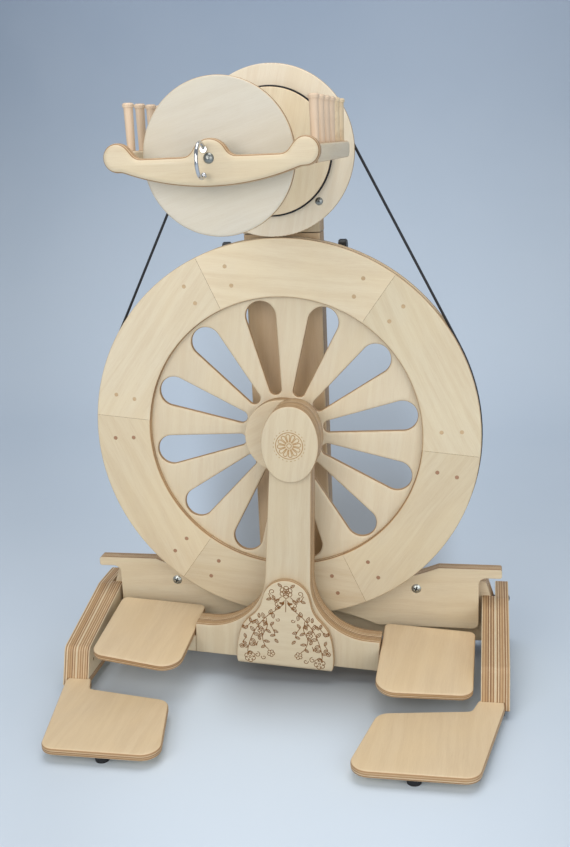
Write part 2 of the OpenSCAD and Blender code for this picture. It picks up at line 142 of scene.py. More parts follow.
def wood(name, origin, u, w, t, plies, light=PALE, dark=DEEP, seed=0.0, rough=0.44, soft=0.0, stripe=1.0, figure=1.0, veneer=0.75):
    """Plywood as a solid texture: pale face veneers, then plies by depth. origin, u, w in the row frame; t in mm."""
    u, w = Vector(u).normalized(), Vector(w).normalized()
    v = w.cross(u)
    m, nt, b = new_mat(name)
    g = G(nt)
    tc = nt.nodes.new("ShaderNodeTexCoord")
    sub = nt.nodes.new("ShaderNodeVectorMath")
    sub.operation = "SUBTRACT"
    nt.links.new(tc.outputs["Object"], sub.inputs[0])
    sub.inputs[1].default_value = origin
    p = sub.outputs[0]
    cu = g.m("MULTIPLY", g.dot(p, u), 1000.0)
    cv = g.m("MULTIPLY", g.dot(p, v), 1000.0)
    cw = g.m("MULTIPLY", g.dot(p, w), 1000.0)
    # face veneer: slow bands bent like rotary-cut birch, fibres, short flecks
    bend = g.noise(g.vec(g.m("MULTIPLY", cu, 0.0045), g.m("MULTIPLY", cv, 0.016), seed), 1.0, 2.0)
    band = g.noise(g.vec(g.m("MULTIPLY", cu, 0.006), g.m("ADD", g.m("MULTIPLY", cv, 0.11), g.m("MULTIPLY", bend, 3.0)), seed + 7.3), 1.0, 4.0, 0.6)
    fibre = g.noise(g.vec(g.m("MULTIPLY", cu, 0.05), g.m("MULTIPLY", cv, 1.7), seed + 3.1), 1.0, 5.0, 0.65)
    fleck = g.noise(g.vec(g.m("MULTIPLY", cu, 0.16), g.m("MULTIPLY", cv, 2.6), seed + 11.0), 1.0, 2.0)
    cloud = g.noise(g.vec(g.m("MULTIPLY", cu, 0.010), g.m("MULTIPLY", cv, 0.018), seed + 21.0), 1.0, 2.0)
    f = g.m("ADD", g.m("MULTIPLY", g.rng(band, 0.36, 0.66, 0.0, 1.0), 0.46 * figure), g.m("MULTIPLY", g.rng(fibre, 0.38, 0.66, 0.0, 1.0), 0.34))
    f = g.m("ADD", f, g.m("MULTIPLY", g.rng(fleck, 0.60, 0.72, 0.0, 1.0), 0.42), clamp=True)
    face = g.mix(f, light, dark)
    face = g.mix(g.rng(cloud, 0.35, 0.7, 0.0, 0.35), face, (light[0] * 1.04, light[1] * 1.0, light[2] * 0.90))
    # plies, of uneven thickness
    warp = g.noise(g.vec(g.m("MULTIPLY", cw, 0.42), seed * 1.7, 3.0), 1.0, 1.0)
    s = g.m("ADD", g.m("MULTIPLY", cw, plies / t), g.m("MULTIPLY", g.m("SUBTRACT", warp, 0.5), 1.5))
    i = g.m("FLOOR", s)
    fr = g.m("FRACT", s)
    odd = g.m("FRACT", g.m("MULTIPLY", g.m("ADD", i, 100.0), 0.5))
    odd = g.m("GREATER_THAN", odd, 0.25)
    tint = g.white(g.m("ADD", i, seed * 3.7 + 0.5))
    along = g.noise(g.vec(g.m("MULTIPLY", cu, 0.09), g.m("MULTIPLY", cv, 0.09), g.m("MULTIPLY", s, 2.3)), 1.0, 4.0, 0.65)
    even_c = g.mix(tint, (0.800, 0.650, 0.435), (0.540, 0.355, 0.185))
    odd_c = g.mix(tint, (0.430, 0.245, 0.110), (0.235, 0.112, 0.042))
    ply = g.mix(g.m("MULTIPLY", odd, stripe), even_c, odd_c)
    ply = g.mix(g.rng(along, 0.40, 0.72, 0.0, 0.45), ply, (0.42, 0.245, 0.115))
    glue = g.m("MULTIPLY", g.rng(g.m("ABSOLUTE", g.m("SUBTRACT", fr, 0.5)), 0.41, 0.47, 0.0, 1.0), 0.40 * stripe)
    ply = g.mix(glue, ply, (0.16, 0.075, 0.032))
    inner = g.m("MULTIPLY", g.rng(cw, veneer - 0.12, veneer + 0.06, 0.0, 1.0), g.rng(cw, t - veneer + 0.12, t - veneer - 0.06, 0.0, 1.0))
    col = g.mix(inner, face, ply)
    nt.links.new(col, b.inputs["Base Color"])
    r = g.m("ADD", g.m("MULTIPLY", g.m("SUBTRACT", fibre, 0.5), 0.16), g.m("MULTIPLY", inner, 0.16))
    nt.links.new(g.m("ADD", r, rough), b.inputs["Roughness"])
    b.inputs["Specular IOR Level"].default_value = 0.42
    b.inputs["Coat Weight"].default_value = 0.06
    b.inputs["Coat Roughness"].default_value = 0.30
    bump = nt.nodes.new("ShaderNodeBump")
    bump.inputs["Strength"].default_value = 0.30
    bump.inputs["Distance"].default_value = 0.00008
    hgt = g.m("ADD", g.m("MULTIPLY", fibre, 1.0), g.m("MULTIPLY", g.m("MULTIPLY", along, inner), 2.2))
    nt.links.new(hgt, bump.inputs["Height"])
    if soft:
        bev = nt.nodes.new("ShaderNodeBevel")
        bev.samples = 4
        bev.inputs["Radius"].default_value = soft * MM
        nt.links.new(bev.outputs[0], bump.inputs["Normal"])
    nt.links.new(bump.outputs[0], b.inputs["Normal"])
    return m


def plain(name, col, rough, metal=0.0, var=0.12, scale=400.0, bump=0.0, aniso=None, coat=0.0, soft=0.0, spec=0.5):
    """Metals, rubber and plastic: colour and roughness broken up by noise, optional turned lines or grain."""
    m, nt, b = new_mat(name)
    g = G(nt)
    tc = nt.nodes.new("ShaderNodeTexCoord")
    vec = tc.outputs["Object"]
    if aniso:
        mp = nt.nodes.new("ShaderNodeMapping")
        mp.inputs["Scale"].default_value = aniso
        nt.links.new(vec, mp.inputs[0])
        vec = mp.outputs[0]
    n = g.noise(vec, scale, 5.0, 0.62)
    big = g.noise(tc.outputs["Object"], 35.0, 2.0)
    k = g.m("MULTIPLY", g.m("ADD", g.m("MULTIPLY", n, 0.7), g.m("MULTIPLY", big, 0.3)), 1.0)
    nt.links.new(g.mix(g.rng(k, 0.3, 0.7, 0.0, 1.0), tuple(c * (1 - var) for c in col), tuple(min(1.0, c * (1 + var)) for c in col)), b.inputs["Base Color"])
    nt.links.new(g.m("ADD", g.m("MULTIPLY", g.m("SUBTRACT", n, 0.5), 0.25), rough, clamp=True), b.inputs["Roughness"])
    b.inputs["Metallic"].default_value = metal
    b.inputs["Specular IOR Level"].default_value = spec
    if coat:
        b.inputs["Coat Weight"].default_value = coat
    last = None
    if soft:
        bev = nt.nodes.new("ShaderNodeBevel")
        bev.samples = 4
        bev.inputs["Radius"].default_value = soft * MM
        last = bev.outputs[0]
    if bump:
        bm = nt.nodes.new("ShaderNodeBump")
        bm.inputs["Strength"].default_value = 0.5
        bm.inputs["Distance"].default_value = bump * MM
        nt.links.new(n, bm.inputs["Height"])
        if last is not None:
            nt.links.new(last, bm.inputs["Normal"])
        last = bm.outputs[0]
    if last is not None:
        nt.links.new(last, b.inputs["Normal"])
    return m


SCREW = plain("screw_zinc", (0.30, 0.31, 0.29), 0.33, 1.0, 0.14, 900.0, 0.01, soft=0.3)
STEEL = plain("zinc_steel", (0.60, 0.60, 0.58), 0.30, 1.0, 0.10, 900.0, 0.01, soft=0.3)
SHAFT = plain("turned_steel", (0.56, 0.57, 0.58), 0.26, 1.0, 0.12, 300.0, 0.01, aniso=(1, 9, 1), soft=0.3)
CHROME = plain("bright_wire", (0.62, 0.63, 0.65), 0.10, 1.0, 0.05, 500.0)
RUBBER = plain("black_rubber", (0.020, 0.020, 0.022), 0.62, 0.0, 0.25, 700.0, 0.05, soft=0.6, spec=0.35)
BAND = plain("drive_cord", (0.012, 0.012, 0.014), 0.42, 0.0, 0.25, 900.0, 0.02, spec=0.45)
BLACK_PLASTIC_AND_RECESS_SHADE = plain("black_plastic", (0.010, 0.010, 0.011), 0.42, 0.0, 0.2, 1200.0, 0.03, soft=0.6)
BRASS = plain("bronze_bush", (0.55, 0.38, 0.17), 0.34, 1.0, 0.10, 600.0, 0.01, soft=0.2)


def burnt(name):
    m, nt, b = new_mat(name)
    g = G(nt)
    tc = nt.nodes.new("ShaderNodeTexCoord")
    n = g.noise(tc.outputs["Object"], 900.0, 4.0, 0.7)
    nt.links.new(g.mix(g.rng(n, 0.35, 0.65, 0.0, 1.0), (0.130, 0.046, 0.012), (0.290, 0.130, 0.038)), b.inputs["Base Color"])
    nt.links.new(g.m("ADD", g.m("MULTIPLY", n, 0.2), 0.68), b.inputs["Roughness"])
    b.inputs["Specular IOR Level"].default_value = 0.2
    return m


BURNT = burnt("burnt_line")


def faint():
    m, nt, b = new_mat("faint_burn")
    g = G(nt)
    tc = nt.nodes.new("ShaderNodeTexCoord")
    n = g.noise(tc.outputs["Object"], 700.0, 4.0, 0.7)
    nt.links.new(g.mix(g.rng(n, 0.35, 0.65, 0.0, 1.0), (0.33, 0.150, 0.028), (0.47, 0.245, 0.065)), b.inputs["Base Color"])
    nt.links.new(g.m("ADD", g.m("MULTIPLY", n, 0.2), 0.60), b.inputs["Roughness"])
    return m


FAINT = faint()


# ---------------------------------------------------------------- mesh helpers
def mesh_obj(name, verts, faces, smooth, mats, body, mat_ids=None, sharp=32):
    me = bpy.data.meshes.new(name)
    me.from_pydata([tuple(v) for v in verts], [], faces)
    for p, s in zip(me.polygons, smooth):
        p.use_smooth = s
    for m in mats:
        me.materials.append(m)
    if mat_ids:
        for p, k in zip(me.polygons, mat_ids):
            p.material_index = k
    me.update()
    import bmesh

    bm = bmesh.new()
    bm.from_mesh(me)
    bmesh.ops.recalc_face_normals(bm, faces=bm.faces)
    bm.to_mesh(me)
    bm.free()
    me.set_sharp_from_angle(angle=rad(sharp))
    o = bpy.data.objects.new(name, me)
    bpy.context.scene.collection.objects.link(o)
    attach(o, body)
    return o


def area(pts):
    x, y = pts[:, 0], pts[:, 1]
    return 0.5 * np.sum(x * np.roll(y, -1) - np.roll(x, -1) * y)


def clean(pts, eps=1e-4):
    out = []
    for p in pts:
        if not out or math.hypot(p[0] - out[-1][0], p[1] - out[-1][1]) > eps:
            out.append(tuple(p))
    if math.hypot(out[0][0] - out[-1][0], out[0][1] - out[-1][1]) <= eps:
        out.pop()
    return out


def inset(pts, d):
    if d == 0:
        return pts.copy()
    e1 = pts - np.roll(pts, 1, 0)
    e2 = np.roll(pts, -1, 0) - pts
    e1 /= np.linalg.norm(e1, axis=1)[:, None]
    e2 /= np.linalg.norm(e2, axis=1)[:, None]
    n1 = np.stack([-e1[:, 1], e1[:, 0]], 1)
    n2 = np.stack([-e2[:, 1], e2[:, 0]], 1)
    n = n1 + n2
    n /= np.linalg.norm(n, axis=1)[:, None]
    c = np.maximum((n * n1).sum(1), 0.35)
    return pts + n * (d / c)[:, None]


PLACE = {
    "Y": lambda u, v, w: (u, w, v),
    "X": lambda u, v, w: (w, u, v),
    "Z": lambda u, v, w: (u, v, w),
}


def board(name, body, mat, loops, a0, a1, matrix, axis="Y", rf=1.0, rb=1.0, steps=4):
    """A flat board: loops of (u, v) points, the first the outside and the rest holes, from a0 to a1, its rims rounded.
    A loop may be (points, front radius, back radius)."""
    verts, faces, smooth = [], [], []
    caps = {"f": [], "b": []}
    cap_ids = {"f": [], "b": []}
    for k, lp in enumerate(loops):
        pts, f, b = lp if isinstance(lp, tuple) and len(lp) == 3 and not isinstance(lp[0], (int, float)) else (lp, rf, rb)
        pts = np.array(clean(pts), float)
        if (area(pts) > 0) != (k == 0):
            pts = pts[::-1].copy()
        prof = []
        if b > 0:
            prof += [(b * (1 - math.sin(a)), a1 - b * (1 - math.cos(a))) for a in [math.pi / 2 * q / steps for q in range(steps + 1)]]
        else:
            prof += [(0.0, a1)]
        if f > 0:
            prof += [(f * (1 - math.cos(a)), a0 + f * (1 - math.sin(a))) for a in [math.pi / 2 * q / steps for q in range(steps + 1)]]
        else:
            prof += [(0.0, a0)]
        n = len(pts)
        base = len(verts)
        for d, w in prof:
            q = inset(pts, d)
            verts += [PLACE[axis](x, y, w) for x, y in q]
        for r in range(len(prof) - 1):
            for c in range(n):
                c2 = (c + 1) % n
                faces.append((base + r * n + c, base + r * n + c2, base + (r + 1) * n + c2, base + (r + 1) * n + c))
                smooth.append(True)
        for key, r in (("b", 0), ("f", len(prof) - 1)):
            q = inset(pts, prof[r][0])
            caps[key].append([Vector((x, y, 0)) for x, y in q])
            cap_ids[key] += [base + r * n + c for c in range(n)]
    for key in caps:
        for tri in tessellate_polygon(caps[key]):
            faces.append(tuple(cap_ids[key][i] for i in tri))
            smooth.append(False)
    verts = [matrix @ Vector(v) for v in verts]
    return mesh_obj(name, verts, faces, smooth, [mat] if not isinstance(mat, list) else mat, body)


def lathe_seg(name, body, mats, sec, parts, matrix, gap=0.12, step=3.0):
    """Ring pieces about Y: sec is the closed section (r, y); parts are (start, end) in degrees seen from the front."""
    verts, faces, smooth, ids = [], [], [], []
    m = len(sec)
    for k, (a0, a1) in enumerate(parts):
        n = max(2, int(round((a1 - a0) / step)))
        base = len(verts)
        for i in range(n + 1):
            for r, y in sec:
                d = math.degrees(math.asin(gap / r))
                a = rad(a0 + d + (a1 - a0 - 2 * d) * i / n)
                verts.append((r * math.cos(a), y, r * math.sin(a)))
        for i in range(n):
            for j in range(m):
                j2 = (j + 1) % m
                faces.append((base + i * m + j, base + i * m + j2, base + (i + 1) * m + j2, base + (i + 1) * m + j))
                smooth.append(True)
                ids.append(k % len(mats))
        faces.append(tuple(base + j for j in range(m)))
        faces.append(tuple(base + n * m + j for j in range(m)))
        smooth += [False, False]
        ids += [k % len(mats)] * 2
    verts = [matrix @ Vector(v) for v in verts]
    return mesh_obj(name, verts, faces, smooth, mats, body, ids)


def round_sec(r0, r1, y0, y1, rad_f0, rad_f1, rad_b0, rad_b1, n=4):
    """Rounded rectangle section in (r, y): front is y0."""
    out = []

    def corner(cx, cy, rr, s):
        if rr <= 0:
            out.append((cx, cy))
            return
        for q in range(n + 1):
            a = rad(s + 90 * q / n)
            out.append((cx + rr * math.cos(a), cy + rr * math.sin(a)))

    corner(r0 + rad_f0, y0 + rad_f0, rad_f0, 180)
    corner(r1 - rad_f1, y0 + rad_f1, rad_f1, 270)
    corner(r1 - rad_b1, y1 - rad_b1, rad_b1, 0)
    corner(r0 + rad_b0, y1 - rad_b0, rad_b0, 90)
    return out


def arc(cx, cy, r, a0, a1, n):
    return [(cx + r * math.cos(rad(a0 + (a1 - a0) * i / n)), cy + r * math.sin(rad(a0 + (a1 - a0) * i / n))) for i in range(n + 1)]


def rpoly(pts, n=8):
    """Polygon with rounded corners from (x, y, r)."""
    out = []
    m = len(pts)
    for i in range(m):
        a, b, c = (np.array(pts[(i + k) % m][:2], float) for k in (-1, 0, 1))
        r = pts[i][2]
        if r <= 0:
            out.append(tuple(b))
            continue
        u = (a - b) / np.linalg.norm(a - b)
        v = (c - b) / np.linalg.norm(c - b)
        an = math.acos(max(-1, min(1, float(u @ v))))
        d = r / math.tan(an / 2)
        cc = b + (u + v) / np.linalg.norm(u + v) * r / math.sin(an / 2)
        s, e = b + u * d - cc, b + v * d - cc
        t0, t1 = math.atan2(s[1], s[0]), math.atan2(e[1], e[0])
        dt = (t1 - t0 + math.pi) % (2 * math.pi) - math.pi
        out += [(cc[0] + r * math.cos(t0 + dt * q / n), cc[1] + r * math.sin(t0 + dt * q / n)) for q in range(n + 1)]
    return out


def mirx(pts):
    return [(-x, y) for x, y in reversed(pts)]


def P(x, y, z):
    return (x * MM, (y + Y0) * MM, (z + AX) * MM)


def tube(name, body, mat, runs, width, height, y, matrix):
    """Thin ribbons standing a hair above a face, for engraved lines, glue lines and painted shade in screw recesses.
    runs are lists of (u, v) or (u, v, half width).
    """
    verts, faces = [], []
    for pts in runs:
        pts = [(p[0], p[1], p[2] if len(p) > 2 else width) for p in pts]
        q = np.array([(p[0], p[1]) for p in pts], float)
        closed = len(q) > 3 and np.linalg.norm(q[0] - q[-1]) < 1e-6
        t = np.gradient(q, axis=0)
        if closed:
            t[0] = t[-1] = q[1] - q[-2]
        t /= np.maximum(np.linalg.norm(t, axis=1), 1e-9)[:, None]
        nn = np.stack([-t[:, 1], t[:, 0]], 1)
        base = len(verts)
        for (x, z, hw), n in zip(pts, nn):
            verts += [(x + n[0] * hw, y, z + n[1] * hw), (x, y - height, z), (x - n[0] * hw, y, z - n[1] * hw)]
        for i in range(len(pts) - 1):
            b = base + 3 * i
            faces += [(b, b + 1, b + 4, b + 3), (b + 1, b + 2, b + 5, b + 4)]
    verts = [matrix @ Vector(v) for v in verts]
    return mesh_obj(name, verts, faces, [True] * len(faces), [mat], body)


YB = (0, 1, 0)
XB = (1, 0, 0)
ZB = (0, 0, 1)

# ---------------------------------------------------------------- drive wheel
R, RI, TK, SEAT = 260.0, 184.0, 9.0, 257.5
sec = round_sec(RI, R, 0.0, TK, 3.6, 2.2, 0.0, 0.3)
# per-piece colour scale of the ring: partly each piece's own tone, partly painted shade, the lower pieces darker where
# the rocker shades the ring and less light reaches
ring_tone_and_shade = [(1.03, 1.03, 1.03), (0.97, 0.985, 1.01), (0.93, 0.92, 0.90), (0.85, 0.84, 0.82), (0.87, 0.87, 0.86), (0.93, 0.945, 0.95)]
for k in range(6):
    a0 = 54 + 60 * k
    mid = rad(a0 + 30)
    tn = ring_tone_and_shade[k]
    m = wood(f"ring_ply_{k + 1}", P(37 * k, 0, 11 * k), (-math.sin(mid), 0, math.cos(mid)), YB, TK, 6,
             tuple(c * t for c, t in zip(PALE, tn)), tuple(c * t for c, t in zip(DEEP, tn)), seed=3.7 * k + 1.0)
    o = lathe_seg(f"ring_front_{k + 1}", "drive_wheel", [m], sec, [(a0, a0 + 60)], WF)
    # the texture plane starts at the face
    for n in m.node_tree.nodes:
        if n.type == "VECT_MATH" and n.operation == "SUBTRACT":
            n.inputs[1].default_value = P(37 * k, 0, 11 * k)
    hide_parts(f"ring_seg_{k + 1}")
mats = []
for k in range(6):
    mid = rad(84 + 30 + 60 * k)
    mats.append(wood(f"rear_ply_{k + 1}", P(23 * k, 18, 9 * k), (-math.sin(mid), 0, math.cos(mid)), YB, TK, 6, PALE, DEEP, seed=5.1 * k + 40.0))
o = lathe_seg("ring_rear", "drive_wheel", mats, round_sec(RI, R, 18.0, 27.0, 0.0, 0.3, 3.2, 2.2), [(84 + 60 * k, 144 + 60 * k) for k in range(6)], WF)
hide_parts("rear_ring")
# dowels with slightly proud ends
verts, faces, smooth = [], [], []
for k in range(6):
    for sg in (-1, 1):
        for q in (235.0, 209.0):
            a = rad(54 + 60 * k + sg * 7.53)
            cx, cz = q * math.cos(a), q * math.sin(a)
            base = len(verts)
            rings = [(0.9, -0.045), (2.5, -0.03), (2.95, 0.02), (2.95, 25.2), (2.6, 25.4)]
            for rr, yy in rings:
                verts += [(cx + rr * math.cos(t), yy, cz + rr * math.sin(t)) for t in [2 * math.pi * j / 20 for j in range(20)]]
            for r in range(len(rings) - 1):
                for j in range(20):
                    j2 = (j + 1) % 20
                    faces.append((base + 20 * r + j, base + 20 * r + j2, base + 20 * r + 20 + j2, base + 20 * r + 20 + j))
                    smooth.append(True)
            faces += [tuple(base + j for j in range(20)), tuple(base + 80 + j for j in range(20))]
            smooth += [False, False]
m = wood("dowel_wood", P(0, -20, 0), XB, ZB, 2000, 2, (0.41, 0.225, 0.130), (0.25, 0.120, 0.060), seed=211.0, stripe=0.0)
o = mesh_obj("ring_dowel_pins", [WF @ Vector(v) for v in verts], faces, smooth, [m], "drive_wheel")
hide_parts("rim_dowels")
# fine glue lines between the ring pieces
runs = []
for k in range(6):
    a = rad(54 + 60 * k)
    runs.append([(r * math.cos(a), r * math.sin(a)) for r in np.linspace(RI + 3.4, R - 2.2, 14)])
tube("ring_joint_lines", "drive_wheel", BURNT, runs, 0.28, 0.012, 0.005, WF)

OPS = math.degrees(math.asin((20 - 8) / (160.0 - 62.0)))
tear = arc(160, 0, 20, -90 - OPS, 90 + OPS, 30)[:-1] + arc(62, 0, 8, 90 + OPS, 270 - OPS, 16)[:-1]
loops = [(arc(0, 0, SEAT, 0, 360, 180)[:-1], 0.2, 0.2), (arc(0, 0, 8.05, 0, 360, 32)[:-1], 0.0, 0.0)]
for k in range(12):
    a = rad(9 + 30 * k)
    ca, sa = math.cos(a), math.sin(a)
    loops.append(([(x * ca - y * sa, x * sa + y * ca) for x, y in tear], 3.4, 3.0))
m_spoke = wood("spoke_ply", P(0, 9, 0), (0.12, 0, 1), YB, TK, 6, tuple(c * t for c, t in zip(PALE, (0.92, 0.93, 0.95))), tuple(c * t for c, t in zip(DEEP, (0.94, 0.95, 0.99))), seed=77.0, figure=0.8)
o = board("spoke_disc", "drive_wheel", m_spoke, loops, TK, 2 * TK, WF, "Y")
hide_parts("spoke_plate")

# ---------------------------------------------------------------- rocker
def oval(a, b, cy):
    r1 = b * 0.86
    c1 = a - r1
    k = b - r1
    c2 = (c1 * c1 - k * k) / (2 * k)
    r2 = b + c2
    th = math.degrees(math.atan2(c1, c2))
    p = arc(-c2, cy, r2, -th, th, 24)[:-1] + arc(0, cy + c1, r1, th, 180 - th, 28)[:-1]
    p += arc(c2, cy, r2, 180 - th, 180 + th, 24)[:-1] + arc(0, cy - c1, r1, 180 + th, 360 - th, 28)[:-1]
    return p


# stem and head as one outline: stem edges meet the oval at its lower flanks
ov = oval(50.9, 37.5, HEAD_W)


def stem_x(w):
    return 33 + (26.3 - 33) * (w - 28.5) / (272 - 28.5)


cut = []
for x, w in ov:
    if not (w < HEAD_W and abs(x) <= stem_x(w)):
        cut.append((x, w))
# order from the right flank over the top to the left flank
cut.sort(key=lambda p: math.atan2(p[1] - HEAD_W, p[0]) if math.atan2(p[1] - HEAD_W, p[0]) > -math.pi / 2 else math.atan2(p[1] - HEAD_W, p[0]) + 2 * math.pi)
# fillet between the cross bar and the stem
ux, uy = stem_x(400) - stem_x(28.5), 400 - 28.5
ln = math.hypot(ux, uy)
ux, uy = ux / ln, uy / ln
an = math.acos(ux)
d = 80 / math.tan(an / 2)
cx = 33 + d
cy = 28.5 + 80
e = (33 + ux * d, 28.5 + uy * d)
t0 = -math.pi / 2
t1 = math.atan2(e[1] - cy, e[0] - cx)
dt = (t1 - t0 + math.pi) % (2 * math.pi) - math.pi
fil = [(cx + 80 * math.cos(t0 + dt * q / 28), cy + 80 * math.sin(t0 + dt * q / 28)) for q in range(29)]
tee = [(-127, -14), (127, -14), (127, 28.5)] + fil + cut + mirx(fil) + [(-127, 28.5)]
m_rf = wood("rocker_ply_front", (RK @ Vector((0, -47.5, 0)))[:], (math.sin(TILT), 0, math.cos(TILT)), YB, 18, 11, tuple(c * 0.83 for c in PALE), tuple(c * 0.83 for c in DEEP), seed=12.0)
m_rb = wood("rocker_ply_back", (RK @ Vector((0, -29.5, 0)))[:], (math.sin(TILT), 0, math.cos(TILT)), YB, 18, 11, tuple(c * 0.96 for c in PALE), DEEP, seed=19.0)
bore = arc(0, 0, 6.05, 0, 360, 32)[:-1]
o1 = board("rocker_front_face", "rocker", m_rf, [tee], -47.5, -41.0, RK, "Y", 2.0, 0.0)
o2 = board("rocker_front_body", "rocker", m_rf, [tee, bore], -41.0, -29.5, RK, "Y", 0.0, 0.0)
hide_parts("rocker_front")
slotp = arc(0, 294.6 + 19.5, 11.1, 0, 180, 20) + arc(0, 294.6 - 19.5, 11.1, 180, 360, 20)
o3 = board("rocker_back_board", "rocker", m_rb, [(tee, 0.25, 1.4), (slotp, 0.0, 0.5), (bore, 0.0, 0.3)], -29.5, -11.5, RK, "Y")
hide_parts("rocker_back")

m_oval = wood("oval_ply", (RK @ Vector((30, -56.5, 280)))[:], (math.sin(rad(8)), 0, math.cos(rad(8))), YB, 9, 6, tuple(c * 0.87 for c in PALE), tuple(c * 0.86 for c in DEEP), seed=31.0)
o = board("oval_cap_board", "rocker", m_oval, [ov], -56.5, -47.5, RK, "Y", 2.4, 0.2, 5)
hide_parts("oval_cap")


def catmull(p, n=8):
    out = []
    for i in range(1, len(p) - 2):
        for k in range(n):
            t = k / n
            a, b, c, d = (np.array(p[i + j], float) for j in (-1, 0, 1, 2))
            out.append(tuple(0.5 * (2 * b + (c - a) * t + (2 * a - 5 * b + 4 * c - d) * t * t + (3 * b - a - 3 * c + d) * t * t * t)))
    return out + [tuple(p[-2])]


bell_k = [(-12, 107.2), (0, 109.5), (12, 107.2), (22.5, 100.5), (29.5, 91), (33, 80), (36, 69), (42.5, 58.5), (51, 50), (58.5, 40), (63, 28), (65.6, 14), (67, 0), (66.6, -12), (64.2, -17.5), (60, -17.5)]
bell_r = catmull(bell_k, 5)
bell = bell_r + mirx(bell_r[1:])
m_bell = wood("bell_ply", (RK @ Vector((0, -56.5, 30)))[:], (math.cos(TILT), 0, -math.sin(TILT)), YB, 9, 6, tuple(c * 0.86 for c in PALE), tuple(c * 0.84 for c in DEEP), seed=55.0, figure=0.7)
o = board("bell_board", "rocker", m_bell, [bell], -56.5, -47.5, RK, "Y", 2.6, 0.2, 5)
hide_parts("bell_plate")

# toe pads
SL = rad(8.1)
toe_p = rpoly([(128.2, 0, 8), (252.2, 0, 9), (252.2, -138, 18), (128.2, -151.5, 26)], 10)
TP = RK @ Matrix.Translation((0, 13.8, 28.6)) @ Matrix.Rotation(SL, 4, "X")
wn = (TP.to_3x3() @ Vector((0, 0, -1))).normalized()
un = (TP.to_3x3() @ Vector((0.05, 1, 0))).normalized()
for s, nm, node in ((-1, "l", "toe_pad_l"), (1, "r", "toe_pad_r")):
    pts = toe_p if s > 0 else mirx(toe_p)
    m = wood(f"toe_ply_{nm}", (TP @ Vector((s * 100, 0, 0)))[:], un, wn, 9.5, 7, WARM_P, WARM_D, seed=61.0 + 9 * s, figure=0.75)
    o = board(f"toe_board_{nm}", "rocker", m, [pts], -9.5, 0.0, TP, "Z", 2.0, 2.6, 5)
    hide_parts(node)
# heel boards
heel_p = rpoly([(291, 104, 3), (291, -124, 3), (261.2, -279, 20), (109.4, -279, 22), (135.4, -153.5, 20), (250.5, -136.2, 9), (258, -112, 4), (262, -108, 0), (262, 104, 3)], 10)
for s, nm, node in ((-1, "l", "heel_board_l"), (1, "r", "heel_board_r")):
    pts = heel_p if s > 0 else mirx(heel_p)
    m = wood(f"heel_ply_{nm}", P(s * 120, -200, -314.4), (0.04, 1, 0), (0, 0, -1), 9.5, 7, WARM_P, WARM_D, seed=71.0 + 7 * s, figure=0.75)
    o = board(f"heel_plate_{nm}", "frame", m, [pts], -336 + 12.1, -336 + 12.1 + 9.5, WF, "Z", 2.0, 2.6, 5)
    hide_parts(node)

# ---------------------------------------------------------------- flyer
# yoke outline by sampling the union of its simple shapes on a polar grid of the upper and lower edges
def yoke_loop():
    xs = np.concatenate([np.linspace(-109, 109, 437)])
    top, bot = [], []
    for x in xs:
        ax = abs(x)
        lo = 228.5 - math.sqrt(256.0**2 - x * x) if ax < 106 else 99.0
        hi = 2.0 if ax < 106 else -99.0
        if abs(ax - 94.5) < 14.5:
            h = math.sqrt(14.5**2 - (ax - 94.5) ** 2)
            lo, hi = min(lo, 3.3 - h), max(hi, 3.3 + h)
        if ax < 19:
            hi = max(hi, math.sqrt(19.0**2 - x * x))
        if 71.5 <= ax <= 85.5:
            dx = ax - 70.0
            c = 12.5 - math.sqrt(max(0.0, 10.6**2 - dx * dx)) if dx < 10.6 else 9.5
            hi = max(hi, min(9.5, c))
        if 13 <= ax <= 27:
            dx = 27 - ax
            c = 13 - math.sqrt(max(0.0, 121 - dx * dx)) if dx < 11 else 9.0
            hi = max(hi, min(9.0, c))
        top.append((x, hi))
        bot.append((x, lo))
    # round ends
    endr = arc(94.5, 3.3, 14.5, -70, 70, 20)
    t = [p for p in top if p[0] < 94.5 + 14.5 * math.cos(rad(70)) and p[0] > -(94.5 + 14.5 * math.cos(rad(70)))]
    b = [p for p in bot if p[0] < 94.5 + 14.5 * math.cos(rad(70)) and p[0] > -(94.5 + 14.5 * math.cos(rad(70)))]
    pts = b + endr + t[::-1] + [(-x, z) for x, z in reversed(endr)]
    q = np.array(clean(pts), float)
    # even steps, then a light smoothing so that the rim can be rounded deeply
    seg = np.linalg.norm(np.roll(q, -1, 0) - q, axis=1)
    s = np.concatenate([[0], np.cumsum(seg)])
    n = 300
    tt = np.linspace(0, s[-1], n, endpoint=False)
    qx = np.interp(tt, s, np.append(q[:, 0], q[0, 0]))
    qz = np.interp(tt, s, np.append(q[:, 1], q[0, 1]))
    q = np.stack([qx, qz], 1)
    for _ in range(3):
        q = 0.25 * np.roll(q, 1, 0) + 0.5 * q + 0.25 * np.roll(q, -1, 0)
    return [tuple(p) for p in q]


m_yoke = wood("yoke_ply", (FL @ Vector((0, -300, 0)))[:], (1, 0, 0.02), YB, 18, 11, tuple(c * 0.86 for c in PALE), tuple(c * 0.84 for c in DEEP), seed=91.0, figure=0.8, veneer=2.2)
o = board("yoke_board", "flyer", m_yoke, [yoke_loop()], -300, -282, FL, "Y", 6.0, 6.0, 7)
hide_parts("flyer_yoke")
for s, nm in ((-1, "l"), (1, "r")):
    x0, x1 = sorted((s * 87.0, s * 105.0))
    m = wood(f"arm_ply_{nm}", (FL @ Vector((x0, 0, 0)))[:], (0, 1, 0), XB, 18, 11, PALE, DEEP, seed=97.0 + 5 * s)
    prof = [(-282.05, -9.0)] + arc(-53.3, 0.25, 9.25, -90, 90, 24) + [(-282.05, 9.5)]
    o = board(f"arm_board_{nm}", "flyer", m, [prof], x0, x1, FL, "X", 2.6, 2.6, 5)
    if s < 0:
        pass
    else:
        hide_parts("flyer_arms")
        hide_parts("flyer_arms")


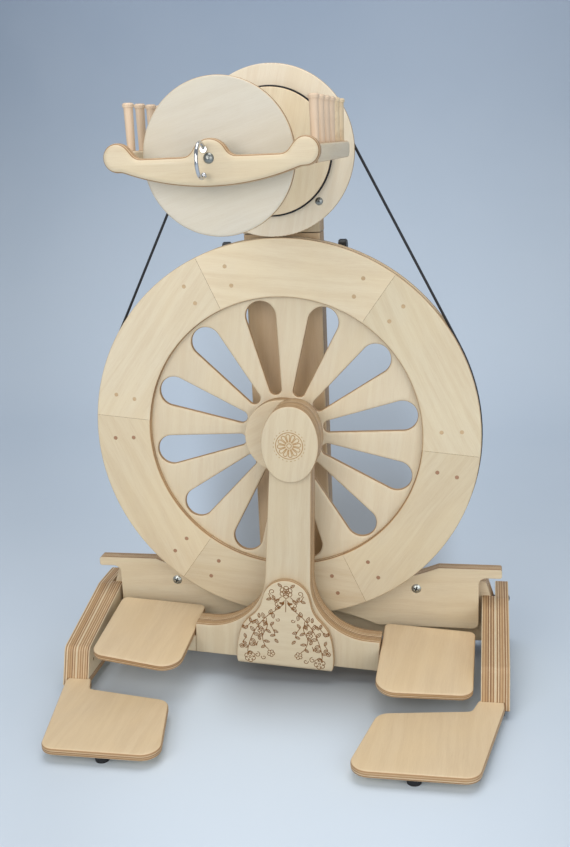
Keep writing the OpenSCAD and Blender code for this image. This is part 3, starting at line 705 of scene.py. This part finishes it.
def give(node, mat):
    o = nodes[node]
    o.data.materials.clear()
    o.data.materials.append(mat)
    for p in o.data.polygons:
        p.material_index = 0


def tn(c, k):
    return tuple(x * k for x in c)


# the two posts get darker, warmer wood colours than the rest: painted shade and warm bounce light, since the posts
# stand in shade behind the wheel
give("post_front", wood("post_ply_f", P(0, 49, 0), ZB, YB, 18, 11, (0.72, 0.540, 0.345), (0.60, 0.415, 0.240), seed=101.0, soft=1.4))
give("post_rear", wood("post_ply_r", P(0, 67, 0), ZB, YB, 18, 11, (0.73, 0.555, 0.360), (0.61, 0.425, 0.250), seed=107.0, soft=1.4))
give("head_block", wood("head_ply", P(0, 49, 0), ZB, YB, 36, 22, tn(PALE, 0.95), tn(DEEP, 0.9), seed=113.0, soft=1.6))
give("cross_beams", wood("beam_ply", P(0, 49, -250), XB, YB, 36, 22, tn(PALE, 0.93), tn(DEEP, 0.92), seed=127.0, soft=1.0))
give("panel", wood("panel_ply", P(0, 31, -250), (1, 0, 0.03), YB, 18, 11, tn(PALE, 0.92), tn(DEEP, 0.90), seed=131.0, soft=1.4))
for nd, x, sd in (("rail_l_outer", -297.5, 1), ("rail_l_inner", -279.5, 2), ("rail_r_inner", 261.5, 3), ("rail_r_outer", 279.5, 4)):
    give(nd, wood(f"rail_ply_{sd}", P(x, 0, -300), (0, 1, 0.24), XB, 18, 11, tn(PALE, 0.96), DEEP, seed=137.0 + 6 * sd, soft=1.3))
give("toe_arms", wood("cleat_ply", P(0, -47.5, -290), XB, YB, 36, 22, tn(PALE, 0.93), DEEP, seed=151.0, soft=1.0))
give("crank_disc", wood("crank_ply", P(0, -9, 0), (1, 0, 0.5), YB, 18, 11, tn(PALE, 0.97), tn(DEEP, 0.97), seed=163.0, soft=1.0))
give("rear_hub", wood("hub_ply", P(0, 18, 0), (1, 0, -0.4), YB, 12, 9, PALE, DEEP, seed=167.0, soft=1.0))
give("whorl_flange", wood("whorl_ply_f", P(0, 2, 365), (0.25, 0, 1), YB, 7, 5, (0.810, 0.710, 0.550), (0.720, 0.590, 0.420), seed=173.0, soft=0.8, stripe=0.7))
give("whorl_core", wood("whorl_ply_c", P(0, 9, 365), XB, YB, 9, 6, tn(PALE, 0.9), DEEP, seed=179.0, soft=0.3))
give("whorl_back", wood("whorl_ply_b", P(0, 18, 365), (1, 0, 0.2), YB, 7, 5, PALE, DEEP, seed=181.0, soft=0.8, stripe=0.7))
give("bobbin_front", wood("bobbin_ply_f", P(0, -264, 365), (0.96, 0, 0.28), YB, 9, 6, (0.640, 0.590, 0.490), (0.560, 0.490, 0.380), seed=191.0, soft=1.2, figure=0.7))
give("bobbin_back", wood("bobbin_ply_b", P(0, -8.5, 365), (0.2, 0, 1), YB, 9, 6, PALE, DEEP, seed=193.0, soft=0.8))
give("bobbin_core", wood("bobbin_core_wood", P(0, -130, 365), (0, 1, 0), ZB, 400, 2, tn(PALE, 0.98), DEEP, seed=197.0, soft=0.5, stripe=0.0))
give("yarn_pegs", wood("peg_wood", P(0, -130, 365), ZB, YB, 900, 2, (0.76, 0.59, 0.43), (0.60, 0.43, 0.29), seed=199.0, soft=0.4, stripe=0.0))
for nd in ("bearings", "axle_collar", "flyer_collar", "crank_bearing", "head_dowels"):
    give(nd, STEEL)
give("flyer_screws", SCREW)
give("panel_screws", plain("screw_pale", (0.56, 0.58, 0.54), 0.36, 1.0, 0.12, 900.0, 0.01, soft=0.3))
for nd in ("axle", "flyer_shaft", "pivot_pin", "stud_l", "stud_r", "crank_pin"):
    give(nd, SHAFT)
give("bobbin_bushes", BRASS)
give("orifice_hook", CHROME)
for nd in ("rubber_feet", "bobbin_band"):
    give(nd, RUBBER)
give("drive_band", BAND)
for nd in ("knob_l", "knob_r", "rail_bolts"):
    give(nd, BLACK_PLASTIC_AND_RECESS_SHADE)

# ---------------------------------------------------------------- engraving
def leaf(x, z, a, l, w, n=7):
    """Open leaf outline from its stalk end."""
    a = rad(a)
    ca, sa = math.cos(a), math.sin(a)
    out = []
    for s in (1, -1):
        side = []
        for i in range(n + 1):
            t = i / n
            u, v = l * t, s * w * math.sin(math.pi * t) ** 0.8 * (1 - 0.35 * t)
            side.append((x + u * ca - v * sa, z + u * sa + v * ca))
        out.append(side)
    vein = [(x + l * t * ca, z + l * t * sa) for t in (0.12, 0.4, 0.72)]
    return out + [vein]


def bloom(x, z, r, n, a0=0.0):
    out = []
    for k in range(n):
        a = rad(a0 + 360 * k / n)
        c = (x + 0.62 * r * math.cos(a), z + 0.62 * r * math.sin(a))
        out.append([(c[0] + 0.42 * r * math.cos(a + q), c[1] + 0.42 * r * math.sin(a + q)) for q in np.linspace(-2.3, 2.3, 11)])
    out.append([(x + 0.2 * r * math.cos(q), z + 0.2 * r * math.sin(q)) for q in np.linspace(0, 2 * math.pi, 9)])
    return out


def curl(x, z, r, a0, turns, s=1, n=22):
    return [(x + r * (1 - 0.75 * i / n) * math.cos(rad(a0 + s * 360 * turns * i / n)), z + r * (1 - 0.75 * i / n) * math.sin(rad(a0 + s * 360 * turns * i / n))) for i in range(n + 1)]


def flip(runs):
    return [[(-p[0], *p[1:]) for p in r] for r in runs]


side = []
stem = catmull([(8, 74), (13, 66), (24, 57), (37, 41), (46, 23), (51, 5), (50, -5), (48, -12)], 8)
side.append(stem)
side.append(catmull([(20, 62), (26, 53), (25, 40), (31, 26), (28, 13), (22, 6), (18, 2)], 8))
side.append(catmull([(30, 56), (38, 50), (47, 44), (53, 37), (57, 33)], 6))
side.append(catmull([(28, 46), (20, 42), (15, 33), (14, 27), (14, 22)], 6))
side.append(catmull([(46, 23), (53, 21), (58, 15), (60, 10)], 6))
side.append(catmull([(30, 22), (37, 17), (39, 10), (38, 5)], 6))
for x, z, a, l in ((14, 66, 125, 8), (18, 61.5, -100, 8.5), (22, 58.5, 110, 8), (29, 51.5, 70, 9), (31, 48.5, -140, 9), (36.5, 41.5, 58, 9), (38, 39.5, -155, 9), (42.5, 31.5, 50, 8.5), (44, 28.5, -165, 9), (47.5, 19.5, -150, 8), (49.5, 12, -170, 8.5), (50.5, 7, 15, 8), (50.6, -1, 175, 6)):
    side += leaf(x, z, a, l, 2.5)
for x, z, a, l in ((36, 52, 85, 7), (41, 48, -50, 7), (47, 44, 75, 7), (52, 39, -60, 6.5), (56, 34, 60, 6)):
    side += leaf(x, z, a, l, 2.0)
for x, z, a, l in ((25.6, 47, -55, 7.5), (26.5, 36, 215, 8), (30.2, 28, -25, 7.5), (29, 19, 190, 8), (27.5, 12, -40, 6.5), (20.5, 42.5, 130, 7), (16, 36, 205, 7), (14.3, 29, -20, 6.5), (14, 23, 230, 7), (34, 19.5, 60, 6), (38.6, 12, 15, 6), (54, 20.5, 70, 6.5), (58.6, 14, 200, 6)):
    side += leaf(x, z, a, l, 2.0)
side += bloom(48, -7.5, 7.4, 6, 20)
side += bloom(33, 33, 4.4, 5, 0)
side += bloom(19, 1, 5.0, 5, 40)
side += bloom(59.5, 8, 3.0, 5, 10)
side.append(curl(38, -3, 4.2, 90, 1.1))
side.append(curl(29, -6, 3.6, 20, 1.0, -1))
side.append(curl(10, 52, 3.0, 20, 1.0, -1))
top = bloom(0, 93, 8.4, 6, 30) + bloom(0, 93, 4.6, 6, 0)
for s in (1, -1):
    t = [catmull([(4, 84), (6, 86), (13, 80), (20, 82), (24, 89), (27, 90)], 6), curl(19, 92, 4.2, -80, 1.1), curl(12, 74, 3.2, 100, 1.0, -1)]
    t += leaf(9, 82, -35, 8, 2.2) + leaf(15, 81, 60, 7, 2.0) + leaf(6, 100, 40, 7, 2.0) + leaf(20, 82, -20, 7, 2.0)
    t += [catmull([(0, 84), (2, 81), (4, 75), (7.5, 71), (11, 69.5)], 5), catmull([(4, 80), (5, 76), (9, 77), (12, 80)], 5)]
    t += leaf(4, 76, 10, 5, 1.5) + leaf(3, 79, -70, 6, 1.6) + leaf(7.5, 71.5, -50, 5, 1.5)
    top += t if s > 0 else flip(t)
runs = side + flip(side) + top + [[(0, 84), (0, 78), (0, 70), (0, 64)]]
tube("bell_engraving", "rocker", BURNT, runs, 0.66, 0.02, -56.495, RK)

# generic rosette on the oval cap: petals round a hub, no lettering
ros = []
cy = HEAD_W - 1
for k in range(12):
    a = rad(30 * k + 8)
    ca, sa = math.cos(a), math.sin(a)
    pet = [(12.8 + 2.5 * math.cos(rad(q)), 2.5 * math.sin(rad(q))) for q in range(-100, 101, 20)] + [(5.0, 0.8), (5.0, -0.8)]
    pet.append(pet[0])
    ros.append([(x * ca - y * sa, cy + x * sa + y * ca) for x, y in pet])
ros.append([(3.0 * math.cos(q), cy + 3.0 * math.sin(q)) for q in np.linspace(0, 2 * math.pi, 24)])
ros.append([(17.6 * math.cos(q), cy + 17.6 * math.sin(q)) for q in np.linspace(0, 2 * math.pi, 72)])
tube("oval_rosette", "rocker", FAINT, ros, 0.78, 0.012, -56.495, RK)
dots = []
for k in range(24):
    a = rad(15 * k + 8)
    dots.append([(20.6 * math.cos(a + q), cy + 20.6 * math.sin(a + q)) for q in (-0.05, 0.0, 0.05)])
tube("oval_dots", "rocker", FAINT, dots, 0.6, 0.012, -56.495, RK)

# ---------------------------------------------------------------- small hardware detail
def ring_line(name, body, slot, mat, cx, cz, r, w, y, matrix, h=0.012):
    pts = [(cx + r * math.cos(q), cz + r * math.sin(q)) for q in np.linspace(0, 2 * math.pi, 40)]
    return tube(name, body, mat, [pts], w, h, y, matrix)


# socket stars in the two whorl screws
# the dark star ribbons are painted shade in the socket recesses of the screw heads
for k, (cxx, czz, y) in enumerate([(85.6 * math.cos(rad(-46.6)), 85.6 * math.sin(rad(-46.6)), -0.42), (85.6 * math.cos(rad(133.4)), 85.6 * math.sin(rad(133.4)), -0.42)]):
    rr = []
    for a in (15, 105):
        c, s = math.cos(rad(a)), math.sin(rad(a))
        rr.append([(cxx - 1.9 * c, czz - 1.9 * s), (cxx + 1.9 * c, czz + 1.9 * s)])
    tube(f"whorl_screw_socket_shade_{k + 1}", "flyer", BLACK_PLASTIC_AND_RECESS_SHADE, rr, 0.42, 0.01, y, FL)

# dark ribbons in the cross recesses of the panel screws: painted shade for the recess bottoms
rr = []
for sg in (-1, 1):
    for a in (20, 110):
        c, s_ = math.cos(rad(a)), -math.sin(rad(a))
        rr.append([(sg * 172 - 3.7 * c, -228.5 - 3.7 * s_), (sg * 172 + 3.7 * c, -228.5 + 3.7 * s_)])
tube("panel_screw_slot_shade", "frame", BLACK_PLASTIC_AND_RECESS_SHADE, rr, 0.82, 0.01, 29.76, WF)

# ---------------------------------------------------------------- stage, camera, light
def stage_mat():
    m, nt, b = new_mat("paper_sweep")
    g = G(nt)
    tc = nt.nodes.new("ShaderNodeTexCoord")
    sep = nt.nodes.new("ShaderNodeSeparateXYZ")
    nt.links.new(tc.outputs["Object"], sep.inputs[0])
    # the paper colour runs darker with height: painted shade where less light reaches the upper backdrop
    h = g.rng(sep.outputs[2], -0.02, 1.6, 0.0, 1.0)
    n = g.noise(tc.outputs["Object"], 2.0, 3.0)
    c = g.mix(h, (0.665, 0.75, 0.84), (0.40, 0.485, 0.61))
    # painted light falloff on the paper: darker along the sweep (floor depth, then height) and from side to side
    q = g.m("MULTIPLY", g.m("ADD", g.m("ADD", sep.outputs[1], sep.outputs[2]), 0.3), 1 / 3.8)
    dep = g.m("ADD", sep.outputs[1], 1.198)
    u = g.m("DIVIDE", g.m("ADD", g.m("SUBTRACT", sep.outputs[0], 0.267), g.m("MULTIPLY", dep, 0.201)), g.m("ADD", g.m("MULTIPLY", dep, 0.283), 0.03))
    fr = nt.nodes.new("ShaderNodeValToRGB")
    fr.color_ramp.interpolation = "EASE"
    nt.links.new(q, fr.inputs[0])
    els = fr.color_ramp.elements
    for k, (x, v) in enumerate(((-0.2, 0.95), (0.4, 0.90), (1.6, 1.0), (3.3, 0.85))):
        e = els[k] if k < 2 else els.new((x + 0.3) / 3.8)
        e.position = (x + 0.3) / 3.8
        e.color = (0.8 * v, 0.8 * v, 0.8 * v, 1)
    c = g.mix(1.0, c, g.mix(1.0, fr.outputs[0], (1.38, 1.38, 1.38), "MULTIPLY"), "MULTIPLY")
    c = g.mix(1.0, c, g.rng(g.m("MULTIPLY", u, u), 0.0, 1.0, 1.0, 0.9), "MULTIPLY")
    # a painted soft shade under and behind the wheel
    qq = g.m("ADD", sep.outputs[1], sep.outputs[2])
    dx = g.m("DIVIDE", g.m("SUBTRACT", u, 0.12), 0.48)
    sh = nt.nodes.new("ShaderNodeValToRGB")
    sh.color_ramp.interpolation = "EASE"
    nt.links.new(g.m("MULTIPLY", g.m("ADD", qq, 0.3), 1 / 3.8), sh.inputs[0])
    els = sh.color_ramp.elements
    for k, (x, v) in enumerate(((-0.1, 0.0), (0.1, 0.85), (0.7, 0.85), (1.2, 0.5), (2.5, 0.0))):
        e = els[k] if k < 2 else els.new((x + 0.3) / 3.8)
        e.position = (x + 0.3) / 3.8
        e.color = (v, v, v, 1)
    k = g.m("MULTIPLY", g.rng(g.m("MULTIPLY", dx, dx), 0.2, 1.0, 1.0, 0.0), sh.outputs[0])
    c = g.mix(k, c, g.mix(1.0, c, (0.40, 0.36, 0.32), "MULTIPLY"))
    nt.links.new(g.mix(g.rng(n, 0.3, 0.7, 0.0, 0.06), c, (0.9, 0.92, 0.94)), b.inputs["Base Color"])
    b.inputs["Roughness"].default_value = 0.75
    b.inputs["Specular IOR Level"].default_value = 0.15
    return m


prof = [(-4.0, 0.0), (-1.0, 0.0), (0.6, 0.0), (1.3, 0.0)]
prof += [(1.3 + 0.9 * math.sin(rad(a)), 0.9 - 0.9 * math.cos(rad(a))) for a in range(6, 91, 6)]
prof += [(2.2, 2.0), (2.2, 4.0)]
vs, fs = [], []
for x in (-5.0, 5.0):
    vs += [(x, y, z) for y, z in prof]
k = len(prof)
fs = [(i, i + 1, k + i + 1, k + i) for i in range(k - 1)]
me = bpy.data.meshes.new("sweep")
me.from_pydata(vs, [], fs)
for p in me.polygons:
    p.use_smooth = True
me.materials.append(stage_mat())
sweep = bpy.data.objects.new("sweep", me)
bpy.context.scene.collection.objects.link(sweep)


def lamp(name, loc, target, size, power, col=(1, 1, 1), sy=None):
    d = bpy.data.lights.new(name, "AREA")
    d.shape = "RECTANGLE"
    d.size, d.size_y = size, sy or size
    d.energy = power
    d.color = col
    o = bpy.data.objects.new(name, d)
    o.location = loc
    o.rotation_euler = (Vector(target) - Vector(loc)).to_track_quat("-Z", "Y").to_euler()
    bpy.context.scene.collection.objects.link(o)


lamp("key", (-0.60, -1.65, 1.20), (0, 0, 0.70), 1.3, 16.5, (1.0, 0.985, 0.96))
lamp("fill", (1.6, -1.9, 1.0), (0, 0.05, 0.70), 1.8, 22, (0.98, 0.99, 1.0))
lamp("top", (0.1, 0.05, 2.6), (0, 0.05, 0), 1.8, 30, (1.0, 0.995, 0.985))
w = bpy.data.worlds.new("studio")
w.use_nodes = True
bg = w.node_tree.nodes["Background"]
bg.inputs[0].default_value = (0.66, 0.71, 0.78, 1)
bg.inputs[1].default_value = 0.43
bpy.context.scene.world = w
bpy.context.scene.view_settings.view_transform = "Standard"

cam_d = bpy.data.cameras.new("photo_camera")
cam_d.sensor_width = 36
cam_d.sensor_fit = "AUTO"
cam_d.lens = 44.423
cam = bpy.data.objects.new("photo_camera", cam_d)
fwd = Vector((-0.19025, 0.94583, -0.26307)).normalized()
right = Vector((0.98170, 0.18543, -0.04330)).normalized()
up = right.cross(fwd).normalized()
right = fwd.cross(up).normalized()
mw = Matrix((right, up, -fwd)).transposed().to_4x4()
mw.translation = Vector((0.26712, (-1311.5 + Y0) * MM, (380.9 + AX) * MM))
cam.matrix_world = mw
bpy.context.scene.collection.objects.link(cam)
bpy.context.scene.camera = cam
